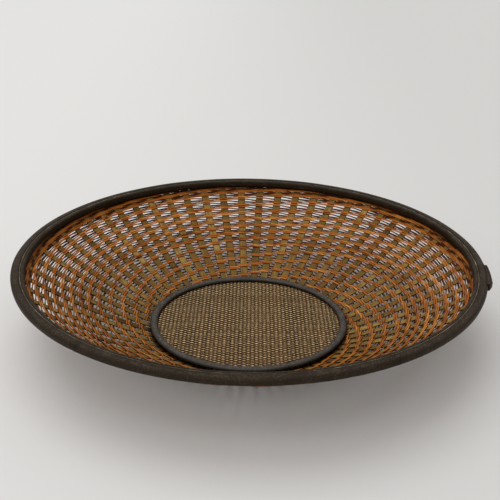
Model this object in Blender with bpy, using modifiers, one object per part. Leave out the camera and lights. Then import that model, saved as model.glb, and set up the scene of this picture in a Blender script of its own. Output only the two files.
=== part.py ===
# Shallow round bamboo basket. A wall of flat spokes and thin woven strands runs from a ringed
# base up to two rim hoops. The axis is Z and the basket stands on its foot ring at z = 0.
import itertools
import math

import bmesh
import bpy
from mathutils import Vector

# Overall
BASKET_HEIGHT = 0.080
RIM_RADIUS = 0.225
CLEARANCE = 0.0003
MERGE_DISTANCE = 0.00001

# Rim
OUTER_HOOP_WIDTH = 0.0078
OUTER_HOOP_HEIGHT = 0.0078
INNER_HOOP_WIDTH = 0.0036
INNER_HOOP_HEIGHT = 0.0070
HOOP_STEP_DOWN = 0.0004
LAP_LENGTH = 0.042
LAP_HEIGHT = 0.0062
LAP_THIN_END = 0.0014
LAP_THICK_END = 0.0036
LAP_CHAMFER = 0.0070
LAP_ANGLE = math.radians(-9.2)
HOOP_ROUNDNESS_SHARE = 0.6
HOOP_ARC_POINTS = 7
FILLER_SIDES = 4

# Base
RING_RADIUS = 0.094
RING_WIDTH = 0.0070
RING_THICKNESS = 0.0040
RING_SIDES = 8
FOOT_WIDTH = 0.0070
FOOT_HEIGHT = 0.0030
MAT_EDGE_INSET = 0.0010
MAT_THICKNESS = 0.0018

# Spokes
SPOKE_COUNT = 60
SPOKES_PER_FAN = 6
SPOKE_WIDTH = 0.0083
SPOKE_ROOT_WIDTH = 0.0064
SPOKE_THICKNESS = 0.0010
SPOKE_ROOT_LENGTH = 0.014
SPOKE_WEB_LENGTH = 0.006
SPOKE_BEND_OFFSET = 0.0015
SPOKE_TIP_RECESS = 0.0014
RIM_BEND_DROP = 0.0012
SPOKE_TAPER_END_SHARE = 0.35
WALL_SAG = 0.0045
WALL_STEPS = 3

# Weft: strands that wind up the wall, inside two spokes and outside the next two
STRAND_COUNT = 17
TURNS_PER_STRAND = 3
STRAND_WIDTH = 0.0014
STRAND_THICKNESS = 0.0009
STRAND_PLAY = 0.00035
TWILL_SPAN = 2
TWILL_START = 1
WEFT_START_SPOKE = 45
FIRST_TURN_RISE = 0.0030
OPEN_TURNS = 17
OPEN_TURN_PITCH = 0.0035
PACKED_TURNS = 6
PACKED_TURN_PITCH = 0.0017
LAST_TURN_DROP = 0.0012

# Round parts are turned in as many steps as there are spokes, so each flat spoke
# tip lies along a flat of the hoops. A flat's distance is true when its corners lie further out.
CORNER_FACTOR = 1 / math.cos(math.pi / SPOKE_COUNT)
SPOKE_ANGLE = math.tau / SPOKE_COUNT

# Heights, from the floor up
ROOT_HEIGHT = FOOT_HEIGHT + CLEARANCE + SPOKE_THICKNESS / 2
MAT_BOTTOM = FOOT_HEIGHT + CLEARANCE + SPOKE_THICKNESS + CLEARANCE
RING_BOTTOM = MAT_BOTTOM + MAT_THICKNESS + CLEARANCE
OUTER_HOOP_BOTTOM = BASKET_HEIGHT - OUTER_HOOP_HEIGHT
INNER_HOOP_TOP = BASKET_HEIGHT - HOOP_STEP_DOWN
INNER_HOOP_BOTTOM = INNER_HOOP_TOP - INNER_HOOP_HEIGHT
SPOKE_TIP = INNER_HOOP_TOP - SPOKE_TIP_RECESS
FILLER_RADIUS = SPOKE_THICKNESS / 2

# Radii, from the rim inwards
HOOP_GRIP_RADIUS = RIM_RADIUS - OUTER_HOOP_WIDTH
SPOKE_TIP_RADIUS = HOOP_GRIP_RADIUS - CLEARANCE - SPOKE_THICKNESS / 2
INNER_HOOP_RADIUS = SPOKE_TIP_RADIUS - SPOKE_THICKNESS / 2 - CLEARANCE
MAT_RADIUS = RING_RADIUS + RING_WIDTH / 2 - MAT_EDGE_INSET
WALL_FOOT_RADIUS = MAT_RADIUS + SPOKE_BEND_OFFSET
WALL_TOP_HEIGHT = min(OUTER_HOOP_BOTTOM, INNER_HOOP_BOTTOM) - RIM_BEND_DROP

COLOURS = {
    "rim_bamboo": ((0.055, 0.045, 0.032), 0.5),
    "ring_bamboo": ((0.075, 0.065, 0.055), 0.55),
    "spoke_bamboo": ((0.17, 0.13, 0.055), 0.6),
    "weft_bamboo": ((0.38, 0.14, 0.04), 0.55),
    "filler_bamboo": ((0.14, 0.10, 0.06), 0.6),
    "mat_bamboo": ((0.24, 0.16, 0.09), 0.65),
}


def clear_scene():
    for item in list(bpy.data.objects):
        bpy.data.objects.remove(item, do_unlink=True)


def make_collection(name):
    collection = bpy.data.collections.new(name)
    bpy.context.scene.collection.children.link(collection)
    return collection


def make_material(name):
    colour, roughness = COLOURS[name]
    material = bpy.data.materials.new(name)
    material.use_nodes = True
    shader = material.node_tree.nodes["Principled BSDF"]
    shader.inputs["Base Color"].default_value = (*colour, 1.0)
    shader.inputs["Roughness"].default_value = roughness
    shader.inputs["Metallic"].default_value = 0.0
    return material


def add_object(name, data, material, collection):
    item = bpy.data.objects.new(name, data)
    data.materials.append(material)
    collection.objects.link(item)
    return item


def mesh_from(shape, name):
    mesh = bpy.data.meshes.new(name)
    shape.to_mesh(mesh)
    shape.free()
    return mesh


def wall_curve(share):
    """Radius and height of the wall's middle, from the base bend (0) to the rim (1)."""
    radius = WALL_FOOT_RADIUS + (SPOKE_TIP_RADIUS - WALL_FOOT_RADIUS) * share
    height = ROOT_HEIGHT + (WALL_TOP_HEIGHT - ROOT_HEIGHT) * share
    return Vector((radius, 0, height - 4 * WALL_SAG * share * (1 - share)))


def wall_point(share):
    """The same place on the straight steps that the spokes are bent in."""
    step = min(int(share * WALL_STEPS), WALL_STEPS - 1)
    low = wall_curve(step / WALL_STEPS)
    high = wall_curve((step + 1) / WALL_STEPS)
    return low.lerp(high, share * WALL_STEPS - step)


def wall_length():
    stations = [wall_curve(step / WALL_STEPS) for step in range(WALL_STEPS + 1)]
    return sum((b - a).length for a, b in zip(stations, stations[1:]))


def spoke_width(share):
    grown = min(max(share, 0) / SPOKE_TAPER_END_SHARE, 1)
    return SPOKE_ROOT_WIDTH + (SPOKE_WIDTH - SPOKE_ROOT_WIDTH) * grown


def turned(name, outline, material, collection):
    """A hoop turned about Z from a closed outline that runs down its outer side."""
    shape = bmesh.new()
    corners = [shape.verts.new((x * CORNER_FACTOR, 0, z)) for x, z in outline]
    for start, end in zip(corners, corners[1:] + corners[:1]):
        shape.edges.new((start, end))
    hoop = add_object(name, mesh_from(shape, name), material, collection)
    screw = hoop.modifiers.new("turn", "SCREW")
    screw.steps = SPOKE_COUNT
    screw.render_steps = SPOKE_COUNT
    screw.use_merge_vertices = True
    screw.merge_threshold = MERGE_DISTANCE
    return hoop


def half_round(flat_radius, width, bottom, top):
    """Outline with a flat side at flat_radius and a rounded side, width away from it."""
    middle = (bottom + top) / 2
    outline = []
    for index in range(HOOP_ARC_POINTS):
        angle = math.pi / 2 - math.pi * index / (HOOP_ARC_POINTS - 1)
        reach = abs(math.cos(angle)) ** HOOP_ROUNDNESS_SHARE
        rise = math.copysign(abs(math.sin(angle)) ** HOOP_ROUNDNESS_SHARE, math.sin(angle))
        outline.append((flat_radius + width * reach, middle + (top - bottom) / 2 * rise))
    return outline if width > 0 else outline[::-1]


def make_outer_hoop(material, collection):
    outline = half_round(HOOP_GRIP_RADIUS, OUTER_HOOP_WIDTH, OUTER_HOOP_BOTTOM, BASKET_HEIGHT)
    turned("outer_rim_hoop", outline, material, collection)


def make_inner_hoop(material, collection):
    outline = half_round(INNER_HOOP_RADIUS, -INNER_HOOP_WIDTH, INNER_HOOP_BOTTOM, INNER_HOOP_TOP)
    turned("inner_rim_hoop", outline, material, collection)


def make_foot_ring(material, collection):
    outer = RING_RADIUS + FOOT_WIDTH / 2
    inner = RING_RADIUS - FOOT_WIDTH / 2
    outline = [(outer, FOOT_HEIGHT), (outer, 0), (inner, 0), (inner, FOOT_HEIGHT)]
    turned("foot_ring", outline, material, collection)


def make_base_ring(material, collection):
    """The band on the mat's edge. Its section is an oval whose top and bottom sides are flat."""
    outline = []
    for index in range(RING_SIDES):
        angle = math.pi - math.tau * (index + 0.5) / RING_SIDES
        reach = math.cos(angle) * RING_WIDTH / 2
        rise = (1 + math.sin(angle) / math.cos(math.pi / RING_SIDES)) * RING_THICKNESS / 2
        outline.append((RING_RADIUS + reach / math.cos(math.pi / RING_SIDES), RING_BOTTOM + rise))
    turned("base_ring", outline, material, collection)


def make_filler(material, collection):
    name = "rim_filler_strand"
    bpy.ops.mesh.primitive_torus_add(major_segments=SPOKE_COUNT, minor_segments=FILLER_SIDES,
                                     major_radius=SPOKE_TIP_RADIUS * CORNER_FACTOR,
                                     minor_radius=FILLER_RADIUS,
                                     location=(0, 0, SPOKE_TIP + CLEARANCE + FILLER_RADIUS))
    torus = bpy.context.object
    torus.name = name
    torus.data.name = name
    torus.data.materials.append(material)
    for owner in list(torus.users_collection):
        owner.objects.unlink(torus)
    collection.objects.link(torus)


def make_lap_end(material, collection):
    """The outer hoop's end, a wedge that lies along the outside of the hoop."""
    shape = bmesh.new()
    bmesh.ops.create_cube(shape, size=1)
    lengthwise = [edge for edge in shape.edges if abs(edge.verts[0].co.y - edge.verts[1].co.y) > 0.5]
    bmesh.ops.subdivide_edges(shape, edges=lengthwise, cuts=7, use_grid_fill=True)
    seat = RIM_RADIUS * CORNER_FACTOR + CLEARANCE
    middle = (OUTER_HOOP_BOTTOM + BASKET_HEIGHT) / 2
    for corner in shape.verts:
        along = 0.5 - corner.co.y
        thickness = LAP_THIN_END + (LAP_THICK_END - LAP_THIN_END) * along
        chamfer_left = (1 - along) * LAP_LENGTH / LAP_CHAMFER
        if chamfer_left < 1:
            thickness = LAP_THIN_END + (LAP_THICK_END - LAP_THIN_END) * chamfer_left
        radius = seat + (corner.co.x + 0.5) * thickness
        angle = LAP_ANGLE + corner.co.y * LAP_LENGTH / seat
        corner.co = (radius * math.cos(angle), radius * math.sin(angle),
                     middle + corner.co.z * LAP_HEIGHT)
    add_object("rim_lap_end", mesh_from(shape, "rim_lap_end"), material, collection)


def make_mat(material, collection):
    shape = bmesh.new()
    bmesh.ops.create_cone(shape, cap_ends=True, segments=SPOKE_COUNT, radius1=MAT_RADIUS,
                          radius2=MAT_RADIUS, depth=MAT_THICKNESS)
    bmesh.ops.translate(shape, verts=shape.verts, vec=(0, 0, MAT_BOTTOM + MAT_THICKNESS / 2))
    add_object("base_mat", mesh_from(shape, "base_mat"), material, collection)


def spoke_stations():
    """Middle line of one spoke: flat root, bent wall, upright tip, each with its width."""
    root = WALL_FOOT_RADIUS - SPOKE_ROOT_LENGTH
    stations = [(Vector((root, 0, ROOT_HEIGHT)), spoke_width(0)),
                (Vector((root + SPOKE_WEB_LENGTH, 0, ROOT_HEIGHT)), spoke_width(0))]
    for step in range(WALL_STEPS + 1):
        share = step / WALL_STEPS
        stations.append((wall_curve(share), spoke_width(share)))
    stations.append((Vector((SPOKE_TIP_RADIUS, 0, SPOKE_TIP)), spoke_width(1)))
    return stations


def spoke_edge(spoke, side, station):
    """A point on the side edge (-1 or 1) of a spoke, at one of its stations."""
    angle = (spoke + 0.5) * SPOKE_ANGLE
    place, width = station
    outward = Vector((math.cos(angle), math.sin(angle), 0)) * place.x
    across = Vector((-math.sin(angle), math.cos(angle), 0)) * side * width / 2
    return outward + across + Vector((0, 0, place.z))


def make_spoke_fan(fan, material, collection):
    """Neighbouring spokes, split from one stave that stays whole at the root, under the mat."""
    name = f"spoke_fan_{fan + 1:02d}"
    stations = spoke_stations()
    shape = bmesh.new()
    for index in range(SPOKES_PER_FAN):
        spoke = fan * SPOKES_PER_FAN + index
        strip = bmesh.ops.create_grid(shape, x_segments=len(stations) - 1, y_segments=1, size=0.5)
        for corner in strip["verts"]:
            station = stations[round((corner.co.x + 0.5) * (len(stations) - 1))]
            corner.co = spoke_edge(spoke, math.copysign(1, corner.co.y), station)
        if index:
            web = bmesh.ops.create_grid(shape, x_segments=1, y_segments=1, size=0.5)
            for corner in web["verts"]:
                station = stations[round(corner.co.x + 0.5)]
                if corner.co.y < 0:
                    corner.co = spoke_edge(spoke - 1, 1, station)
                else:
                    corner.co = spoke_edge(spoke, -1, station)
    bmesh.ops.remove_doubles(shape, verts=shape.verts, dist=MERGE_DISTANCE)
    spokes = add_object(name, mesh_from(shape, name), material, collection)
    solidify = spokes.modifiers.new("thickness", "SOLIDIFY")
    solidify.thickness = SPOKE_THICKNESS
    solidify.offset = 0
    solidify.use_even_offset = True


def make_strand_profile(guides):
    """A strand's flat cross-section, turned to lie along the wall. Its corners run clockwise."""
    curve = bpy.data.curves.new("strand_profile", "CURVE")
    curve.dimensions = "2D"
    up_wall = (wall_curve(1) - wall_curve(0)).normalized()
    across = Vector((up_wall.x, up_wall.z)) * STRAND_WIDTH / 2
    inward = Vector((-up_wall.z, up_wall.x)) * STRAND_THICKNESS / 2
    corners = [inward, across - inward, -across - inward]
    spline = curve.splines.new("POLY")
    spline.points.add(len(corners) - 1)
    for point, corner in zip(spline.points, corners):
        point.co = (*corner, 0, 1)
    spline.use_cyclic_u = True
    profile = bpy.data.objects.new("strand_profile", curve)
    profile.hide_render = True
    profile.display_type = "WIRE"
    guides.objects.link(profile)
    return profile


def turn_share(turn):
    """Where on the wall the weft lies after so many turns, open by the base and packed at the rim."""
    last_turn = STRAND_COUNT * TURNS_PER_STRAND
    low = FIRST_TURN_RISE + min(turn, OPEN_TURNS) * OPEN_TURN_PITCH
    high = wall_length() - LAST_TURN_DROP - PACKED_TURNS * PACKED_TURN_PITCH
    closer = max(turn - OPEN_TURNS, 0) / (last_turn - PACKED_TURNS - OPEN_TURNS)
    packed = max(turn + PACKED_TURNS - last_turn, 0) * PACKED_TURN_PITCH
    return (low + (high - low) * min(closer, 1) + packed) / wall_length()


def lies_inside(step):
    """Whether the weft passes a spoke on the bowl's side. Each turn starts one spoke earlier."""
    return (step + step // SPOKE_COUNT + TWILL_START) % (2 * TWILL_SPAN) < TWILL_SPAN


def strand_point(step, side, inside, half_run):
    """A point on the weft just past a spoke's side edge (-1 or 1), with step spokes behind it."""
    share = turn_share((step + 0.5) / SPOKE_COUNT)
    part = 0.5 / WALL_STEPS
    slope = (wall_curve(share + part) - wall_curve(share - part)).normalized()
    inward = Vector((-slope.z, 0, slope.x))
    width = spoke_width(share) + 2 * STRAND_PLAY
    place = wall_point(share)
    stack = (SPOKE_THICKNESS + STRAND_THICKNESS) / 2 + STRAND_PLAY
    if inside:
        place = place + inward * stack
    else:
        # a straight run outside cuts across the wall's curve, so it stands off by that much more
        cut = place.x * (1 - math.cos(half_run)) + width / 2 * math.sin(half_run)
        place = place - inward * (stack - inward.x * cut)
    return spoke_edge(WEFT_START_SPOKE + step, side, (place, width))


def strand_points(strand):
    """Each run past neighbouring spokes is straight, from the first one's edge to the last one's."""
    length = TURNS_PER_STRAND * SPOKE_COUNT
    steps = range(strand * length, (strand + 1) * length)
    points = []
    for inside, run in itertools.groupby(steps, lies_inside):
        run = list(run)
        half_run = (len(run) - 1) * SPOKE_ANGLE / 2
        points.append(strand_point(run[0], -1, inside, half_run))
        points.append(strand_point(run[-1], 1, inside, half_run))
    return points


def make_strand(strand, profile, material, collection):
    name = f"weft_strand_{strand + 1:02d}"
    curve = bpy.data.curves.new(name, "CURVE")
    curve.dimensions = "3D"
    curve.twist_mode = "Z_UP"
    curve.bevel_mode = "OBJECT"
    curve.bevel_object = profile
    curve.use_fill_caps = True
    points = strand_points(strand)
    spline = curve.splines.new("POLY")
    spline.points.add(len(points) - 1)
    for point, place in zip(spline.points, points):
        point.co = (*place, 1)
    add_object(name, curve, material, collection)


def main():
    clear_scene()
    basket = make_collection("bamboo_basket")
    guides = make_collection("guides")
    materials = {name: make_material(name) for name in COLOURS}
    make_outer_hoop(materials["rim_bamboo"], basket)
    make_inner_hoop(materials["rim_bamboo"], basket)
    make_lap_end(materials["rim_bamboo"], basket)
    make_filler(materials["filler_bamboo"], basket)
    make_base_ring(materials["ring_bamboo"], basket)
    make_foot_ring(materials["ring_bamboo"], basket)
    make_mat(materials["mat_bamboo"], basket)
    for fan in range(SPOKE_COUNT // SPOKES_PER_FAN):
        make_spoke_fan(fan, materials["spoke_bamboo"], basket)
    profile = make_strand_profile(guides)
    for strand in range(STRAND_COUNT):
        make_strand(strand, profile, materials["weft_bamboo"], basket)


main()
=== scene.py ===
# Wide shallow basket of split bamboo: flat spokes and twilled strands between a base ring and a double rim.
import math

import bmesh
import bpy
from mathutils import Matrix, Vector, noise


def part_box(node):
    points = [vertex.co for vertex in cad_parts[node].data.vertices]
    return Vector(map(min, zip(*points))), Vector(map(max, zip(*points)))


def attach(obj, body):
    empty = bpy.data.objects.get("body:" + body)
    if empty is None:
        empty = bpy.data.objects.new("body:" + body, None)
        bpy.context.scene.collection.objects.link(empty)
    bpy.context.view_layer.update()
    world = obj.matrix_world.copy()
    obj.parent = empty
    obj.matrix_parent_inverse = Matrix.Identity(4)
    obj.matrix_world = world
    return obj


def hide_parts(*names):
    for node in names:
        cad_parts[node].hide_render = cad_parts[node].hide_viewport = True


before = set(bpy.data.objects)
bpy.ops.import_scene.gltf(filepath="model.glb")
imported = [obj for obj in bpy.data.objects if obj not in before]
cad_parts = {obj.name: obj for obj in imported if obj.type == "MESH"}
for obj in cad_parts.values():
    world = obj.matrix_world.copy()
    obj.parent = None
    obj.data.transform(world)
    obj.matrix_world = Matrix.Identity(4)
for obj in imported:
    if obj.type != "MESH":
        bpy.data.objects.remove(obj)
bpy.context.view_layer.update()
print("frame loaded:", len(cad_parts), "nodes")

full = math.tau
facet = math.cos(math.pi / 60)        # the solids' hoops have 60 flats, and their boxes reach the corners
mergeGap = 0.000002

wall = {
    "spokes": 60,
    "spokesPerFan": 6,
    "bend": 0.0015,                   # from the mat's edge to where the wall starts
    "sag": 0.0045,                    # how far the wall hollows between ring and rim
    "rimDrop": 0.0012,                # the wall turns upright this far under the hoops
    "drift": 0.0007,                  # spokes stand in and out of the smooth wall by about this
    "driftLength": 2.6,
}

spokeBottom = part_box("spoke_fan_01")[0].z
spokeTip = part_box("spoke_fan_01")[1].z
fillerLow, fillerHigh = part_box("rim_filler_strand")
fillerRadius = (fillerHigh.z - fillerLow.z) / 2
tipRadius = (fillerHigh.y - fillerRadius) * facet
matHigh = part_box("base_mat")[1]
footRadius = matHigh.y + wall["bend"]
outerLow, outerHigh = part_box("outer_rim_hoop")
innerLow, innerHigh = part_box("inner_rim_hoop")
rimRadius = outerHigh.y * facet
topHeight = min(outerLow.z, innerLow.z) - wall["rimDrop"]


# Small helpers

def turned(place, angle):
    return Matrix.Rotation(angle, 3, "Z") @ place


def ease(share):
    share = min(max(share, 0), 1)
    return share * share * (3 - 2 * share)


def between(low, high, share):
    return low + (high - low) * share


def softBox(turn, sharpness):         # a rounded rectangle's edge for a turn from 0 to 1
    across, up = math.cos(full * turn), math.sin(full * turn)
    return (math.copysign(abs(across) ** sharpness, across), math.copysign(abs(up) ** sharpness, up))


def ringNoise(angle, detail, seed):   # noise that meets itself after a full turn
    return noise.noise(Vector((math.cos(angle) * detail, math.sin(angle) * detail, seed)))


def newShape():
    shape = bmesh.new()
    shape.loops.layers.uv.new("fibre")
    for name in ("tone", "wear"):
        shape.verts.layers.float.new(name)
    return shape


def addStrip(shape, steps, sides, place, tone, wear=None):
    # a grid rolled round a path; place gives a corner and its run along the strip in metres
    fibre = shape.loops.layers.uv["fibre"]
    toneLayer, wearLayer = (shape.verts.layers.float[name] for name in ("tone", "wear"))
    grid = bmesh.ops.create_grid(shape, x_segments=steps, y_segments=sides, size=0.5)
    for corner in grid["verts"]:
        along, turn = corner.co.x + 0.5, corner.co.y + 0.5
        corner.co, run = place(along, turn)
        corner[toneLayer] = tone(along, turn) if callable(tone) else tone
        corner[wearLayer] = wear(along, turn) if wear else 0
        for loop in corner.link_loops:
            loop[fibre].uv = (run, turn)


def finishPiece(shape, name, material, nodes, sharpAngle=50):
    bmesh.ops.remove_doubles(shape, verts=shape.verts, dist=mergeGap)
    bmesh.ops.holes_fill(shape, edges=[edge for edge in shape.edges if edge.is_boundary], sides=0)
    bmesh.ops.recalc_face_normals(shape, faces=shape.faces)
    mesh = bpy.data.meshes.new(name)
    shape.to_mesh(mesh)
    shape.free()
    mesh.shade_smooth()
    mesh.set_sharp_from_angle(angle=math.radians(sharpAngle))
    mesh.materials.append(material)
    piece = bpy.data.objects.new(name, mesh)
    bpy.context.scene.collection.objects.link(piece)
    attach(piece, "root")
    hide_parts(*nodes)


# The wall's form, as the solids have it

def wallPoint(share):
    radius = between(footRadius, tipRadius, share)
    height = between(footHeight, topHeight, share) - 4 * wall["sag"] * share * (1 - share)
    return Vector((radius, 0, height))


def wallFrame(share):                 # place, way up the wall, way into the bowl
    slope = (wallPoint(share + 0.01) - wallPoint(share - 0.01)).normalized()
    return wallPoint(share), slope, Vector((-slope.z, 0, slope.x))


def spokeDrift(spoke, share):
    spoke = spoke % wall["spokes"]
    wave = noise.noise(Vector((spoke * 7.31, share * wall["driftLength"], 4.7)))
    return wall["drift"] * wave * ease(share * 5) * ease((1 - share) * 8)


def drift(spot, share):               # between two spokes the strands follow both
    low = math.floor(spot - 0.5)
    return between(spokeDrift(low, share), spokeDrift(low + 1, share), ease(spot - 0.5 - low))


# Materials

def link(tree, source, target):
    tree.links.new(source, target)


def addNode(tree, kind, **inputs):
    made = tree.nodes.new("ShaderNode" + kind)
    for name, value in inputs.items():
        socket = made.inputs[name]
        if isinstance(value, bpy.types.NodeSocket):
            link(tree, value, socket)
        else:
            socket.default_value = value
    return made


def math2(tree, operation, first, second=0.0, clamp=False):
    made = tree.nodes.new("ShaderNodeMath")
    made.operation = operation
    made.use_clamp = clamp
    for socket, value in zip(made.inputs, (first, second)):
        if isinstance(value, bpy.types.NodeSocket):
            link(tree, value, socket)
        else:
            socket.default_value = value
    return made.outputs[0]


def spread(tree, value, fromLow, fromHigh, toLow=0.0, toHigh=1.0):
    made = tree.nodes.new("ShaderNodeMapRange")
    made.interpolation_type = "SMOOTHSTEP"
    link(tree, value, made.inputs["Value"])
    for name, limit in (("From Min", fromLow), ("From Max", fromHigh), ("To Min", toLow), ("To Max", toHigh)):
        made.inputs[name].default_value = limit
    return made.outputs["Result"]


def mixColour(tree, share, first, second, blend="MIX"):
    made = tree.nodes.new("ShaderNodeMix")
    made.data_type = "RGBA"
    made.blend_type = blend
    for socket, value in zip((made.inputs[0], made.inputs[6], made.inputs[7]), (share, first, second)):
        if isinstance(value, bpy.types.NodeSocket):
            link(tree, value, socket)
        else:
            socket.default_value = value
    return made.outputs[2]


def newGroup(name, inputs, outputs):
    group = bpy.data.node_groups.new(name, "ShaderNodeTree")
    for label, kind in inputs:
        group.interface.new_socket(name=label, in_out="INPUT", socket_type="NodeSocket" + kind)
    for label, kind in outputs:
        group.interface.new_socket(name=label, in_out="OUTPUT", socket_type="NodeSocket" + kind)
    return group, group.nodes.new("NodeGroupInput").outputs, group.nodes.new("NodeGroupOutput").inputs


bambooJoint = {                       # the line across a strip where the cane had a knot
    "lineOuter": 0.0011,
    "lineInner": 0.0002,
    "lineDark": 0.8,
    "haloOuter": 0.012,
    "haloInner": 0.001,
    "haloDark": 0.12,
    "tint": (0.22, 0.14, 0.08),
}


def makeFibreGroup():
    # long fibres, slow blotches and bamboo joints along a strip
    group, given, out = newGroup(
        "splitBamboo",
        [("Fibre", "Vector"), ("Tone", "Float"), ("Dark", "Color"), ("Middle", "Color"), ("Light", "Color"),
         ("Fibres Across", "Float"), ("Fibre Length", "Float"), ("Blotch Length", "Float"),
         ("Joint Spacing", "Float"), ("Contrast", "Float"), ("Edge Start", "Float"), ("Edge Dark", "Float")],
        [("Colour", "Color"), ("Roughness", "Float"), ("Height", "Float")])
    split = addNode(group, "SeparateXYZ", Vector=given["Fibre"])
    run, turn = split.outputs["X"], split.outputs["Y"]
    seed = math2(group, "MULTIPLY", given["Tone"], 71.0)

    def stretched(length, across, detail):
        along = math2(group, "DIVIDE", run, length)
        around = math2(group, "MULTIPLY", turn, across)
        place = addNode(group, "CombineXYZ", X=along, Y=around, Z=seed)
        wave = addNode(group, "TexNoise", Vector=place.outputs[0], Scale=1.0, Detail=detail, Roughness=0.6)
        return wave.outputs[0]

    fibres = stretched(given["Fibre Length"], given["Fibres Across"], 3.0)
    blotch = stretched(given["Blotch Length"], 1.3, 2.0)
    fineLength = math2(group, "MULTIPLY", given["Fibre Length"], 0.35)
    fineAcross = math2(group, "MULTIPLY", given["Fibres Across"], 3.5)
    fine = stretched(fineLength, fineAcross, 1.0)
    spot = math2(group, "ADD", math2(group, "DIVIDE", run, given["Joint Spacing"]), seed)
    away = math2(group, "ABSOLUTE", math2(group, "SUBTRACT", math2(group, "FRACT", spot), 0.5))
    fromJoint = math2(group, "MULTIPLY", away, given["Joint Spacing"])
    joint = spread(group, fromJoint, bambooJoint["lineOuter"], bambooJoint["lineInner"])
    halo = spread(group, fromJoint, bambooJoint["haloOuter"], bambooJoint["haloInner"])

    centred = math2(group, "SUBTRACT", math2(group, "ADD", fibres, blotch), 1.0)
    swing = math2(group, "MULTIPLY", centred, given["Contrast"])
    share = math2(group, "ADD", given["Tone"], swing, clamp=True)
    nearJoint = math2(group, "MULTIPLY", halo, bambooJoint["haloDark"])
    share = math2(group, "SUBTRACT", share, nearJoint, clamp=True)
    lower = mixColour(group, spread(group, share, 0.0, 0.5), given["Dark"], given["Middle"])
    colour = mixColour(group, spread(group, share, 0.5, 1.0), lower, given["Light"])
    darker = mixColour(group, 1.0, colour, (*bambooJoint["tint"], 1), "MULTIPLY")
    # a strip's thin sides are darker: partly a dark stain, partly painted shade beside the gaps
    side = math2(group, "ABSOLUTE", math2(group, "COSINE", math2(group, "MULTIPLY", turn, full)))
    edge = addNode(group, "MapRange", Value=side)
    edge.interpolation_type = "SMOOTHSTEP"
    link(group, given["Edge Start"], edge.inputs["From Min"])
    edge = math2(group, "MULTIPLY", edge.outputs["Result"], given["Edge Dark"])
    stainAndShade = math2(group, "MAXIMUM", math2(group, "MULTIPLY", joint, bambooJoint["lineDark"]), edge)
    colour = mixColour(group, stainAndShade, colour, darker)
    link(group, colour, out["Colour"])
    rough = math2(group, "ADD", 0.42, math2(group, "MULTIPLY", fine, 0.22))
    link(group, rough, out["Roughness"])
    height = math2(group, "ADD", math2(group, "MULTIPLY", fibres, 0.7), math2(group, "MULTIPLY", fine, 0.3))
    height = math2(group, "ADD", height, math2(group, "MULTIPLY", joint, 0.8))
    link(group, height, out["Height"])
    return group


rubbing = {
    "patches": 0.11,                  # patches are the specks at this share of their scale
    "wearLift": 0.10,
    "patchLift": 0.30,
    "starts": 0.66,
    "full": 0.92,
}


def makeStainGroup():
    # a dark stain that has rubbed thin in specks and along the edges
    group, given, out = newGroup(
        "rubbedStain",
        [("Colour", "Color"), ("Rubbed", "Color"), ("Place", "Vector"), ("Wear", "Float"),
         ("Speck Size", "Float")],
        [("Colour", "Color"), ("Mask", "Float")])
    scale = math2(group, "DIVIDE", 1.0, given["Speck Size"])
    specks = addNode(group, "TexNoise", Vector=given["Place"], Scale=scale, Detail=4.0, Roughness=0.7)
    patchScale = math2(group, "MULTIPLY", scale, rubbing["patches"])
    patches = addNode(group, "TexNoise", Vector=given["Place"], Scale=patchScale, Detail=2.0, Roughness=0.5)
    lift = math2(group, "ADD", math2(group, "MULTIPLY", given["Wear"], rubbing["wearLift"]),
                 math2(group, "MULTIPLY", patches.outputs[0], rubbing["patchLift"]))
    mask = spread(group, math2(group, "ADD", specks.outputs[0], lift), rubbing["starts"], rubbing["full"])
    link(group, mixColour(group, mask, given["Colour"], given["Rubbed"]), out["Colour"])
    link(group, mask, out["Mask"])
    return group


fibreGroup = makeFibreGroup()
stainGroup = makeStainGroup()

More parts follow.
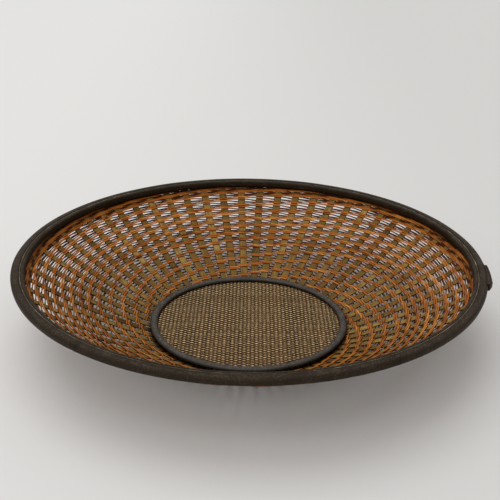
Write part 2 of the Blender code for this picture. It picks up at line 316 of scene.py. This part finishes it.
finishes = {
    "weft": dict(dark=(0.050, 0.014, 0.003), middle=(0.33, 0.100, 0.014), light=(0.62, 0.27, 0.065),
                 fibresAcross=5.0, fibreLength=0.012, blotchLength=0.045, jointSpacing=0.31, contrast=1.1,
                 edgeStart=0.55, edgeDark=0.75, crevice=0.0022, creviceShade=0.85,
                 bump=0.25, bumpDepth=0.0002, shine=0.07),
    "spoke": dict(dark=(0.052, 0.026, 0.005), middle=(0.150, 0.085, 0.020), light=(0.37, 0.24, 0.070),
                  fibresAcross=26.0, fibreLength=0.016, blotchLength=0.050, jointSpacing=0.29, contrast=1.0,
                  edgeStart=0.50, edgeDark=0.95, crevice=0.0050, creviceShade=1.0,
                  bump=0.3, bumpDepth=0.0003, shine=0.07),
    "matWarp": dict(dark=(0.018, 0.008, 0.003), middle=(0.16, 0.070, 0.026), light=(0.40, 0.22, 0.09),
                    fibresAcross=10.0, fibreLength=0.006, blotchLength=0.030, jointSpacing=0.23, contrast=1.0,
                    edgeStart=0.60, edgeDark=0.80, crevice=0.0020, creviceShade=0.90,
                    bump=0.3, bumpDepth=0.0002, shine=0.08),
    "matWeft": dict(dark=(0.05, 0.026, 0.010), middle=(0.36, 0.24, 0.11), light=(0.82, 0.66, 0.38),
                    fibresAcross=8.0, fibreLength=0.005, blotchLength=0.012, jointSpacing=0.19, contrast=1.7,
                    edgeStart=0.60, edgeDark=0.80, crevice=0.0020, creviceShade=0.90,
                    bump=0.3, bumpDepth=0.0002, shine=0.08),
    "rim": dict(dark=(0.008, 0.005, 0.0025), middle=(0.019, 0.012, 0.006), light=(0.042, 0.029, 0.015),
                fibresAcross=40.0, fibreLength=0.025, blotchLength=0.080, jointSpacing=0.262, contrast=0.6,
                edgeStart=2.0, edgeDark=0.0, crevice=0.0030, creviceShade=0.60,
                bump=0.25, bumpDepth=0.0004, shine=0.10,
                rubbed=(0.062, 0.046, 0.031), speck=0.0013),
    "ring": dict(dark=(0.014, 0.011, 0.009), middle=(0.030, 0.025, 0.021), light=(0.060, 0.052, 0.042),
                 fibresAcross=24.0, fibreLength=0.020, blotchLength=0.060, jointSpacing=0.24, contrast=0.5,
                 edgeStart=2.0, edgeDark=0.0, crevice=0.0030, creviceShade=0.60,
                 bump=0.2, bumpDepth=0.0003, shine=0.3,
                 rubbed=(0.11, 0.09, 0.07), speck=0.0014),
    "filler": dict(dark=(0.05, 0.038, 0.022), middle=(0.14, 0.11, 0.06), light=(0.45, 0.38, 0.25),
                   fibresAcross=4.0, fibreLength=0.006, blotchLength=0.009, jointSpacing=0.19, contrast=1.4,
                   edgeStart=2.0, edgeDark=0.0, crevice=0.0020, creviceShade=0.70,
                   bump=0.2, bumpDepth=0.0002, shine=0.2),
}

# painted shade: an occlusion mask darkens the colour in the crevices between strips, where shade falls
creviceShade = {
    "tint": (0.12, 0.055, 0.022),      # the colour left in a crevice by the painted shade
    "open": 0.97,                     # how open a spot is before it starts to darken
    "shut": 0.50,
    "looks": 6,
}


def paintedCreviceShadeMask(tree, finish):        # painted shade mask: 1 deep between the strips, 0 where the spot is open
    crevice = tree.nodes.new("ShaderNodeAmbientOcclusion")
    crevice.samples = creviceShade["looks"]
    crevice.inputs["Distance"].default_value = finish["crevice"]
    return spread(tree, crevice.outputs["AO"], creviceShade["open"], creviceShade["shut"], 0.0, finish["creviceShade"])


def makeMaterial(name, finish):
    material = bpy.data.materials.new(name + "Bamboo")
    material.use_nodes = True
    tree = material.node_tree
    shader = tree.nodes["Principled BSDF"]
    fibre = tree.nodes.new("ShaderNodeUVMap")
    fibre.uv_map = "fibre"
    tone = tree.nodes.new("ShaderNodeAttribute")
    tone.attribute_name = "tone"
    strip = tree.nodes.new("ShaderNodeGroup")
    strip.node_tree = fibreGroup
    link(tree, fibre.outputs[0], strip.inputs["Fibre"])
    link(tree, tone.outputs["Fac"], strip.inputs["Tone"])
    for label, key in (("Dark", "dark"), ("Middle", "middle"), ("Light", "light")):
        strip.inputs[label].default_value = (*finish[key], 1)
    for label, key in (("Fibres Across", "fibresAcross"), ("Fibre Length", "fibreLength"),
                       ("Blotch Length", "blotchLength"), ("Joint Spacing", "jointSpacing"),
                       ("Contrast", "contrast"), ("Edge Start", "edgeStart"), ("Edge Dark", "edgeDark")):
        strip.inputs[label].default_value = finish[key]
    colour, rough = strip.outputs["Colour"], strip.outputs["Roughness"]
    if "rubbed" in finish:
        place = tree.nodes.new("ShaderNodeTexCoord")
        wear = tree.nodes.new("ShaderNodeAttribute")
        wear.attribute_name = "wear"
        stain = tree.nodes.new("ShaderNodeGroup")
        stain.node_tree = stainGroup
        link(tree, place.outputs["Object"], stain.inputs["Place"])
        link(tree, wear.outputs["Fac"], stain.inputs["Wear"])
        link(tree, colour, stain.inputs["Colour"])
        stain.inputs["Rubbed"].default_value = (*finish["rubbed"], 1)
        stain.inputs["Speck Size"].default_value = finish["speck"]
        colour = stain.outputs["Colour"]
    # painted shade: the colour is darkened in the crevices by the occlusion mask
    colour = mixColour(tree, paintedCreviceShadeMask(tree, finish), colour,
                       mixColour(tree, 1.0, colour, (*creviceShade["tint"], 1), "MULTIPLY"))
    link(tree, colour, shader.inputs["Base Color"])
    link(tree, rough, shader.inputs["Roughness"])
    shader.inputs["Specular IOR Level"].default_value = finish["shine"]
    bump = tree.nodes.new("ShaderNodeBump")
    bump.inputs["Strength"].default_value = finish["bump"]
    bump.inputs["Distance"].default_value = finish["bumpDepth"]
    link(tree, strip.outputs["Height"], bump.inputs["Height"])
    link(tree, bump.outputs[0], shader.inputs["Normal"])
    return material


materials = {name: makeMaterial(name, finish) for name, finish in finishes.items()}
print("materials made:", ", ".join(materials))


# Spokes

spokeStrip = {
    "width": 0.0083,
    "rootWidth": 0.0078,
    "widthVaries": 0.0004,
    "thickness": 0.0010,
    "rootLength": 0.014,
    "steps": 44,
    "sides": 10,
    "squareness": 0.35,
    "sway": 0.0006,                   # sideways wander
    "twist": 0.05,
    "softBend": 0.004,                # the strip bends over this far either side of a corner
    "toneVaries": 0.42,
}
footHeight = spokeBottom + spokeStrip["thickness"] / 2

weft = {                              # the spokes are shaved with the strips, so this comes before them
    "strands": 17,
    "turnsPerStrand": 3,
    "startSpoke": 45,
    "span": 2,                        # inside this many spokes, then outside as many
    "start": 1,
    "firstRise": 0.0030,              # along the wall, from the ring's side
    "lastDrop": -0.0013,
    "openTurns": 17,                  # the lowest turns lie further apart
    "openPitch": 0.0035,
    "packedTurns": 7,                 # the last turns are beaten tight under the rim
    "packedPitch": 0.0015,
    "width": 0.0021,
    "packedWidth": 0.0024,
    # painted shade: the packed turns under the rim are darkened where they overlap
    "packedShade": 0.14,
    # how the pairs close up: inside low and high, outside low and high
    "pressed": (0.95, -0.95, 0.7, 0.5),
    "diving": 0.60,                   # a strip narrows by this where it dives out between two spokes
    "rising": 0.35,
    "paintedGapShade": 0.52,                   # painted shade: strips are darker between the spokes on the outside, where the strips inside shade them
    "thickness": 0.00085,
    "thinned": 0.72,                  # strips and spokes are shaved to this under the rim
    "thinFrom": 0.90,                 # the shaving starts at this share of the wall's height
    "thinOver": 0.05,                 # and is full after this much more
    "tilt": math.radians(33),         # a strip turns level where it dives out between two spokes
    "squareness": 0.6,
    "sides": 8,
    "stepsPerSpoke": 6,
    "clear": 0.00003,
    "slowWander": 0.0014,             # neighbouring turns rise and fall together
    "fineWander": 0.00022,
    "dip": 0.0045,
    "dipAngle": math.radians(72),
    "dipSpread": math.radians(27),
    "splice": 71.0,                   # a strip lasts for about this many spokes
    "swell": 0.16,                    # strips vary in width by about this share
    "toneVaries": 0.30,
}


def thinning(share):
    return between(1, weft["thinned"], ease((share - weft["thinFrom"]) / weft["thinOver"]))


def wallLength(share):
    steps = 24
    places = [wallPoint(share * step / steps) for step in range(steps + 1)]
    return sum((b - a).length for a, b in zip(places, places[1:]))


wallRun = wallLength(1)


def spokeWidth(spoke, share):
    width = between(spokeStrip["rootWidth"], spokeStrip["width"], ease(share * 4))
    return width + spokeStrip["widthVaries"] * noise.noise(Vector((spoke * 3.7, share * 3, 9.1)))


def spokeStation(spoke, run):
    # run is the length from the root's end; the root lies flat, the wall rises, the tip stands upright
    root = spokeStrip["rootLength"]
    soft = spokeStrip["softBend"]
    if run < root:
        place = Vector((footRadius - root + run, 0, footHeight))
        share, inward = 0, Vector((0, 0, 1))
    elif run < root + wallRun:
        share = (run - root) / wallRun
        place, slope, inward = wallFrame(share)
        place = place + inward * spokeDrift(spoke, share)
    else:
        share, inward = 1, Vector((-1, 0, 0))
        place = Vector((tipRadius, 0, topHeight + run - root - wallRun))
    bendIn = ease((run - root + soft) / (2 * soft))
    rise = wallFrame(0.02)[2]
    if abs(run - root) < soft:
        inward = Vector((0, 0, 1)).lerp(rise, bendIn).normalized()
    bendOut = ease((run - root - wallRun + soft) / (2 * soft))
    if abs(run - root - wallRun) < soft:
        inward = wallFrame(0.98)[2].lerp(Vector((-1, 0, 0)), bendOut).normalized()
    return place, inward, share


def makeSpokes(fan):
    shape = newShape()
    total = spokeStrip["rootLength"] + wallRun + spokeTip - topHeight
    for index in range(wall["spokesPerFan"]):
        spoke = fan * wall["spokesPerFan"] + index
        angle = (spoke + 0.5) * full / wall["spokes"]
        tone = 0.5 + spokeStrip["toneVaries"] * noise.noise(Vector((spoke * 5.17, 0.3, 2.2)))
        sway = spokeStrip["sway"]

        def place(along, turn):
            run = along * total
            middle, inward, share = spokeStation(spoke, run)
            across = Vector((0, 1, 0))
            wide, thick = softBox(turn, spokeStrip["squareness"])
            wander = sway * noise.noise(Vector((spoke * 2.3, share * 2.4, 6.6))) * ease(share * 3)
            roll = spokeStrip["twist"] * noise.noise(Vector((spoke * 4.1, share * 2.0, 1.1)))
            side = across * math.cos(roll) + inward * math.sin(roll)
            face = inward * math.cos(roll) - across * math.sin(roll)
            corner = middle + side * (wander + wide * spokeWidth(spoke, share) / 2)
            corner = corner + face * thick * spokeStrip["thickness"] * thinning(share) / 2
            return turned(corner, angle), run + spoke * 0.37

        addStrip(shape, spokeStrip["steps"], spokeStrip["sides"], place, tone)
    finishPiece(shape, f"spokes{fan + 1:02d}", materials["spoke"],
                [f"spoke_fan_{fan + 1:02d}"])


for fan in range(wall["spokes"] // wall["spokesPerFan"]):
    makeSpokes(fan)
print("spokes made")


# Weft

weftTurns = weft["strands"] * weft["turnsPerStrand"]


def turnShare(turn):
    low = weft["firstRise"] + min(turn, weft["openTurns"]) * weft["openPitch"]
    high = wallRun - weft["lastDrop"] - weft["packedTurns"] * weft["packedPitch"]
    closer = max(turn - weft["openTurns"], 0) / (weftTurns - weft["packedTurns"] - weft["openTurns"])
    packed = max(turn + weft["packedTurns"] - weftTurns, 0) * weft["packedPitch"]
    return (between(low, high, min(closer, 1)) + packed) / wallRun


def stripWidth(turn):
    packed = ease((turn + 2 * weft["packedTurns"] - weftTurns) / weft["packedTurns"])
    return between(weft["width"], weft["packedWidth"], packed)


def phaseOf(step):                    # 0 and 1 pass a spoke inside the bowl, 2 and 3 outside
    return (step + step // wall["spokes"] + weft["start"]) % (2 * weft["span"])


def sideOf(step):
    return 1 if phaseOf(step) < weft["span"] else -1


def looseness(turn):                  # half the room left between two turns
    room = (turnShare(turn + 0.5) - turnShare(turn - 0.5)) * wallRun - stripWidth(turn)
    return max(room, 0) / 2


def wander(angle, share, spot):
    way = Vector((math.cos(angle) * 1.4, math.sin(angle) * 1.4, share * 1.3))
    slow = weft["slowWander"] * noise.noise(way)
    away = ((angle - weft["dipAngle"] + math.pi) % full - math.pi) / weft["dipSpread"]
    slow = slow - weft["dip"] * math.exp(-away * away) * ease(share * 2)
    fine = weft["fineWander"] * noise.noise(Vector((spot * 0.31, 4.4, 7.7)))
    return slow * ease(share * 5) * ease((1 - share) * 5) + fine


def weftStation(spot):
    # spot counts spokes along the weft from its start beside the ring
    angle = (spot + weft["startSpoke"]) * full / wall["spokes"]
    share = turnShare(spot / wall["spokes"])
    share = share + wander(angle, share, spot) / wallRun
    pitch = wallPoint(share).x * full / wall["spokes"]
    half = spokeWidth(0, share) / 2 / pitch
    last = math.floor(spot - 0.5)
    shaved = thinning(share)
    reach = (spokeStrip["thickness"] + weft["thickness"]) * shaved / 2 + weft["clear"]
    crossed = ease((spot - 0.5 - last - half) / (1 - 2 * half))
    pressed = between(weft["pressed"][phaseOf(last)], weft["pressed"][phaseOf(last + 1)], crossed)
    share = share + pressed * looseness(spot / wall["spokes"]) / wallRun
    middle, _, inward = wallFrame(share)
    side = between(sideOf(last), sideOf(last + 1), crossed)
    out = reach * side
    place = middle + inward * (out + drift(spot + weft["startSpoke"], share))
    loose = (shaved - weft["thinned"]) / (1 - weft["thinned"])
    halfway = math.sin(math.pi * crossed) * loose
    tilt, narrow = 0, 1
    if sideOf(last) > sideOf(last + 1):
        tilt, narrow = weft["tilt"] * halfway, 1 - weft["diving"] * halfway
    elif sideOf(last) < sideOf(last + 1):
        narrow = 1 - weft["rising"] * halfway
    nearest = min(spot - 0.5 - last, last + 1.5 - spot)
    # painted shade on the outside strips between the spokes
    shade = weft["paintedGapShade"] * (1 - side) / 2 * ease((nearest / half - 0.85) / 0.3)
    return turned(place, angle), turned(inward, angle), tilt, shaved, narrow, shade


def makeWeft(strand):
    shape = newShape()
    steps = weft["turnsPerStrand"] * wall["spokes"]
    first = strand * steps
    rootShare = turnShare(first / wall["spokes"])
    pitch = wallPoint(rootShare).x * full / wall["spokes"]
    cover = spokeStrip["width"] / pitch
    crowd = max(0, 1 - 1.6 * (1 - cover))       # more stations in the gaps, where the strand bends
    count = weft["stepsPerSpoke"] * steps       # each strand runs on to where the next one starts
    spots = []
    for index in range(count + 1):
        local = index / weft["stepsPerSpoke"]
        spots.append(first + 0.5 + local + crowd * math.sin(full * local) / full)
    spots[0] = spots[0] - cover / 2
    spots[-1] = spots[-1] - cover / 2
    stations = [weftStation(spot) for spot in spots]
    runs = [0.0]
    for before, after in zip(stations, stations[1:]):
        runs.append(runs[-1] + (after[0] - before[0]).length)

    def strip(index):                 # strips follow one another along the strand
        return math.floor((spots[index] + strand * 17.3) / weft["splice"])

    def place(along, turn):
        index = round(along * count)
        here, inward, tilt, shaved, narrow, shade = stations[index]
        ahead = stations[min(index + 1, count)][0] - stations[max(index - 1, 0)][0]
        ahead.normalize()
        face = (inward - ahead * inward.dot(ahead)).normalized()
        side = ahead.cross(face)
        level, steep = math.cos(tilt), math.sin(tilt)
        face, side = face * level + side * steep, side * level - face * steep
        wide, thick = softBox(turn, weft["squareness"])
        swell = 1 + weft["swell"] * noise.noise(Vector((spots[index] * 0.23, strand * 2.9, 1.7)))
        width = stripWidth(spots[index] / wall["spokes"]) * swell * narrow
        corner = here + side * (wide * width / 2)
        corner = corner + face * (thick * weft["thickness"] * shaved / 2)
        return corner, runs[index] + strip(index) * 5.3

    def tone(along, turn):
        index = round(along * count)
        packed = ease((spots[index] / wall["spokes"] + weft["packedTurns"] - weftTurns) / 2 + 1)
        tint = 0.5 + weft["toneVaries"] * noise.noise(Vector((strip(index) * 4.7, strand * 3.9, 5.5)))
        # painted shade: outside strips between spokes and the packed turns are darkened
        return tint - stations[index][5] - packed * weft["packedShade"]

    addStrip(shape, count, weft["sides"], place, tone)
    finishPiece(shape, f"weft{strand + 1:02d}", materials["weft"],
                [f"weft_strand_{strand + 1:02d}"], 80)


for strand in range(weft["strands"]):
    makeWeft(strand)
print("weft made")


# Rim hoops, lap end and filler

hoop = {
    "outerWidth": 0.0078,
    "innerWidth": 0.0036,
    "squareness": 0.6,
    "steps": 360,
    "sides": 20,
    "wobble": 0.00022,
    "swell": 0.05,
    "fillOut": 0.97,                  # how far the wavy surface fills its box
    "fillUp": 0.98,
}


def addHoop(shape, flatRadius, width, bottom, top, seed, tone):
    middle, half = (bottom + top) / 2, (top - bottom) / 2

    def place(along, turn):
        angle = full * along
        # three quarters of the turn follow the round side, the last quarter the flat one
        if turn < 0.75:
            swing = math.pi / 2 - math.pi * turn / 0.75
            reach = abs(math.cos(swing)) ** hoop["squareness"] if turn > 0 else 0
            rise = math.copysign(abs(math.sin(swing)) ** hoop["squareness"], math.sin(swing))
        else:
            reach, rise = 0, between(-1, 1, (turn - 0.75) / 0.25)
        swell = 1 + hoop["swell"] * ringNoise(angle, 5.0, seed)
        radius = flatRadius + width * reach * swell * hoop["fillOut"]
        radius = radius + hoop["wobble"] * ringNoise(angle, 2.2, seed + 3) * reach
        height = middle + half * rise * hoop["fillUp"]
        height = height + hoop["wobble"] * ringNoise(angle, 3.1, seed + 8) * 0.4
        return turned(Vector((radius, 0, height)), angle), angle * flatRadius + seed

    def wear(along, turn):
        edge = max(0, 1 - abs(turn - 0.10) / 0.09) + max(0, 1 - abs(turn - 0.02) / 0.05)
        return min(edge, 1)

    addStrip(shape, hoop["steps"], hoop["sides"], place, tone, wear)


gripRadius = rimRadius - hoop["outerWidth"]
shape = newShape()
addHoop(shape, gripRadius, hoop["outerWidth"], outerLow.z, outerHigh.z, 2.0, 0.5)
finishPiece(shape, "outerHoop", materials["rim"], ["outer_rim_hoop"])

innerRadius = tipRadius - (gripRadius - tipRadius)
shape = newShape()
addHoop(shape, innerRadius, -hoop["innerWidth"], innerLow.z, innerHigh.z, 7.0, 0.42)
finishPiece(shape, "innerHoop", materials["rim"], ["inner_rim_hoop"])

lap = {
    "length": 0.042,
    "height": 0.0070,
    "thin": 0.0014,
    "thick": 0.0036,
    "chamfer": 0.0070,
    "angle": math.radians(-9.2),
    "seatGap": 0.00006,
    "sunk": 0.95,                     # its inner face lies this deep in the hoop's round side
    "squareness": 0.4,
    "steps": 46,
    "sides": 16,
}


def makeLap():
    shape = newShape()
    seat = rimRadius / facet + lap["seatGap"]
    middle = (outerLow.z + outerHigh.z) / 2

    def place(along, turn):
        thickness = between(lap["thin"], lap["thick"], along)
        left = (1 - along) * lap["length"] / lap["chamfer"]
        if left < 1:
            thickness = between(lap["thin"], lap["thick"], left)
        out, up = softBox(turn, lap["squareness"])
        level = abs(up) * lap["height"] / (outerHigh.z - outerLow.z)
        bulge = (1 - level ** (2 / hoop["squareness"])) ** (hoop["squareness"] / 2)
        inner = gripRadius + hoop["outerWidth"] * bulge * lap["sunk"]
        radius = between(inner, seat + thickness, (out + 1) / 2)
        angle = lap["angle"] + (0.5 - along) * lap["length"] / seat
        height = middle + up * lap["height"] / 2
        return turned(Vector((radius, 0, height)), angle), along * lap["length"] + 5.0

    addStrip(shape, lap["steps"], lap["sides"], place, 0.62, lambda along, turn: 0.5)
    finishPiece(shape, "lapEnd", materials["rim"], ["rim_lap_end"])


makeLap()


filler = {
    "squareness": 0.8,
    "wobble": 0.00012,
    "steps": 360,
    "sides": 8,
}


def makeFiller():
    shape = newShape()
    middle = (fillerLow.z + fillerHigh.z) / 2

    def place(along, turn):
        angle = full * along
        wide, up = softBox(turn, filler["squareness"])
        height = middle + up * fillerRadius + filler["wobble"] * ringNoise(angle, 16.0, 3.0)
        radius = tipRadius + wide * fillerRadius
        return turned(Vector((radius, 0, height)), angle), angle * tipRadius

    addStrip(shape, filler["steps"], filler["sides"], place, 0.5)
    finishPiece(shape, "rimFiller", materials["filler"], ["rim_filler_strand"], 80)


makeFiller()
print("rim made")


# Base ring, foot ring and mat

ringLow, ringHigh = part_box("base_ring")
footLow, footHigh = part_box("foot_ring")
base = {
    "width": 0.0070,
    "squareness": 0.75,
    "steps": 300,
    "sides": 20,
    "wobble": 0.0002,
    "jointAngles": (-0.42, 2.72),
    "jointWidth": 0.0005,
    "jointDepth": 0.0003,
}


def makeRing():
    shape = newShape()
    radius0 = ringHigh.y * facet - base["width"] / 2
    middle, half = (ringLow.z + ringHigh.z) / 2, (ringHigh.z - ringLow.z) / 2

    def place(along, turn):
        angle = full * along
        out, up = softBox(turn, base["squareness"])
        size = 1 + 0.03 * ringNoise(angle, 4.0, 2.5)
        for joint in base["jointAngles"]:
            away = abs((angle - joint + math.pi) % full - math.pi) * radius0
            size = size - base["jointDepth"] / half * max(0, 1 - away / base["jointWidth"])
        radius = radius0 + out * size * base["width"] / 2 + base["wobble"] * ringNoise(angle, 2.0, 6.5)
        return turned(Vector((radius, 0, middle + up * half * size)), angle), angle * radius0

    def wear(along, turn):
        return max(0, 1 - abs(turn - 0.25) / 0.12)

    addStrip(shape, base["steps"], base["sides"], place, 0.5, wear)
    finishPiece(shape, "baseRing", materials["ring"], ["base_ring"], 80)


foot = {
    "width": 0.0070,
    "squareness": 0.3,
    "steps": 240,
    "sides": 16,
}


def makeFoot():
    shape = newShape()
    outer = footHigh.y * facet
    width, height = foot["width"], footHigh.z - footLow.z

    def place(along, turn):
        angle = full * along
        out, up = softBox(turn, foot["squareness"])
        radius = outer - width / 2 + out * width / 2
        return turned(Vector((radius, 0, height / 2 + up * height / 2)), angle), angle * outer

    addStrip(shape, foot["steps"], foot["sides"], place, 0.45, lambda along, turn: 0.3)
    finishPiece(shape, "footRing", materials["ring"], ["foot_ring"])


makeRing()
makeFoot()

mat = {
    "radius": matHigh.y - 0.0008,
    "warpPitch": 0.00385,
    "weftPitch": 0.00215,
    "warpWidth": 0.0032,
    "weftWidth": 0.0015,
    "warpThickness": 0.00055,
    "weftThickness": 0.00070,
    "wave": 0.00034,
    "warpSteps": 2,
    "weftSteps": 4,
    "sides": 6,
    "squareness": 0.45,
    "wander": 0.00022,
    "warpTone": (0.38, 0.60),         # middle tone and how far strips stray from it
    "weftTone": (0.80, 0.40),
    "hollowShadeTone": 0.15,               # painted shade: a strip is darkened where it dips under the crossing strips and keeps its tone only where it lies on top
}


def makeMat(pitch, otherPitch, width, thickness, lengthways, steps, parity, tones):
    shape = newShape()
    middle = matHigh.z - mat["wave"] - max(mat["warpThickness"], mat["weftThickness"]) / 2
    count = int(mat["radius"] / pitch)
    for index in range(-count, count + 1):
        side0 = index * pitch
        crossings = math.sqrt(max(mat["radius"] ** 2 - side0 ** 2, 0)) / otherPitch
        half = crossings * otherPitch
        if half < 2 * otherPitch:
            continue
        total = int(2 * crossings * steps)

        def tone(along, turn):
            # painted shade where the strip dips under its neighbours
            crest = max(0, math.cos(math.pi * total * along / steps - math.pi * crossings)
                        * (1 if (index + parity) % 2 else -1))
            return tones(index) * between(mat["hollowShadeTone"], 1, crest ** 2)

        def place(along, turn):
            run = between(-half, half, along)
            wave = math.cos(math.pi * (run / otherPitch)) * (1 if (index + parity) % 2 else -1)
            wander = mat["wander"] * noise.noise(Vector((index * 2.7, run * 30, parity * 5.0 + 1.3)))
            out, up = softBox(turn, mat["squareness"])
            across = side0 + wander + out * width / 2
            height = middle + wave * mat["wave"] + up * thickness / 2
            corner = Vector((across, run, height)) if lengthways else Vector((run, across, height))
            return corner, run + index * 0.61

        addStrip(shape, total, mat["sides"], place, tone)
    return shape


def warpTone(index):
    usual, varies = mat["warpTone"]
    return usual + varies * noise.noise(Vector((index * 1.9, 0.4, 8.8)))


def weftTone(index):
    usual, varies = mat["weftTone"]
    return usual + varies * noise.noise(Vector((index * 2.3, 5.4, 3.8)))


shape = makeMat(mat["warpPitch"], mat["weftPitch"], mat["warpWidth"], mat["warpThickness"],
                True, mat["warpSteps"], 0, warpTone)
finishPiece(shape, "matWarps", materials["matWarp"], ["base_mat"], 80)
shape = makeMat(mat["weftPitch"], mat["warpPitch"], mat["weftWidth"], mat["weftThickness"],
                False, mat["weftSteps"], 1, weftTone)
finishPiece(shape, "matWefts", materials["matWeft"], ["base_mat"], 80)
print("base made")


# Camera, floor and light

view = {
    "distance": 0.8675,
    "pitch": math.radians(23.86),
    "roll": math.radians(0.85),
    "lens": 64.8,
    "sensor": 36,
    "target": (0.0004, 0.0, 0.0848),
}

cameraData = bpy.data.cameras.new("camera")
cameraData.lens = view["lens"]
cameraData.sensor_width = view["sensor"]
camera = bpy.data.objects.new("camera", cameraData)
bpy.context.scene.collection.objects.link(camera)
back = Vector((0, -math.cos(view["pitch"]), math.sin(view["pitch"])))
turnDown = Matrix.Rotation(math.pi / 2 - view["pitch"], 4, "X")
camera.matrix_world = (Matrix.Translation(Vector(view["target"]) + back * view["distance"])
                       @ turnDown @ Matrix.Rotation(view["roll"], 4, "Z"))
bpy.context.scene.camera = camera

studio = {
    "floorSize": 12.0,
    "floorLitSide": (0.74, 0.735, 0.725),
    "floorShadedSide": (0.62, 0.615, 0.605),
    "floorFade": 0.45,                # painted light: the floor is lighter on the left and darker on the right, and its tone changes over this far on each side
    "floorRough": 0.9,
    "floorShine": 0.2,
    "worldColour": (1.0, 0.985, 0.965),
    "worldStrength": 0.55,
    "backdrop": 0.70,                 # what the camera sees beyond the floor
    "sunPlace": (-0.25, 0.25, 1.35),
    "sunSpread": math.radians(50),
    "sunStrength": 0.95,
    "fillPlace": (-0.55, -1.2, 1.35),
    "fillSpread": math.radians(50),
    "fillStrength": 0.95,
}


def addFloor():
    shape = bmesh.new()
    bmesh.ops.create_grid(shape, x_segments=1, y_segments=1, size=studio["floorSize"] / 2)
    bmesh.ops.translate(shape, verts=shape.verts, vec=(0, 0, -0.0001))
    mesh = bpy.data.meshes.new("floor")
    shape.to_mesh(mesh)
    shape.free()
    material = bpy.data.materials.new("paleFloor")
    material.use_nodes = True
    tree = material.node_tree
    shader = tree.nodes["Principled BSDF"]
    place = tree.nodes.new("ShaderNodeTexCoord")
    split = addNode(tree, "SeparateXYZ", Vector=place.outputs["Object"])
    # painted light: a tone ramp from the lit left to the shaded right
    side = spread(tree, split.outputs["X"], -studio["floorFade"], studio["floorFade"])
    colour = mixColour(tree, side, (*studio["floorLitSide"], 1), (*studio["floorShadedSide"], 1))
    link(tree, colour, shader.inputs["Base Color"])
    shader.inputs["Roughness"].default_value = studio["floorRough"]
    shader.inputs["Specular IOR Level"].default_value = studio["floorShine"]
    mesh.materials.append(material)
    floor = bpy.data.objects.new("floor", mesh)
    bpy.context.scene.collection.objects.link(floor)


def addSun(name, place, angle, strength):
    data = bpy.data.lights.new(name, "SUN")
    data.angle = angle
    data.energy = strength
    lamp = bpy.data.objects.new(name, data)
    bpy.context.scene.collection.objects.link(lamp)
    lamp.location = place
    lamp.rotation_euler = (-Vector(place)).to_track_quat("-Z", "Y").to_euler()


addFloor()
addSun("keySun", studio["sunPlace"], studio["sunSpread"], studio["sunStrength"])
addSun("fillSun", studio["fillPlace"], studio["fillSpread"], studio["fillStrength"])
world = bpy.data.worlds.new("studio")
world.use_nodes = True
sky = world.node_tree.nodes["Background"]
sky.inputs["Color"].default_value = (*studio["worldColour"], 1)
seen = addNode(world.node_tree, "LightPath").outputs["Is Camera Ray"]
link(world.node_tree, spread(world.node_tree, seen, 0, 1, studio["worldStrength"], studio["backdrop"]),
     sky.inputs["Strength"])
bpy.context.scene.world = world
bpy.context.scene.view_settings.view_transform = "Standard"
print("camera, floor and light set")
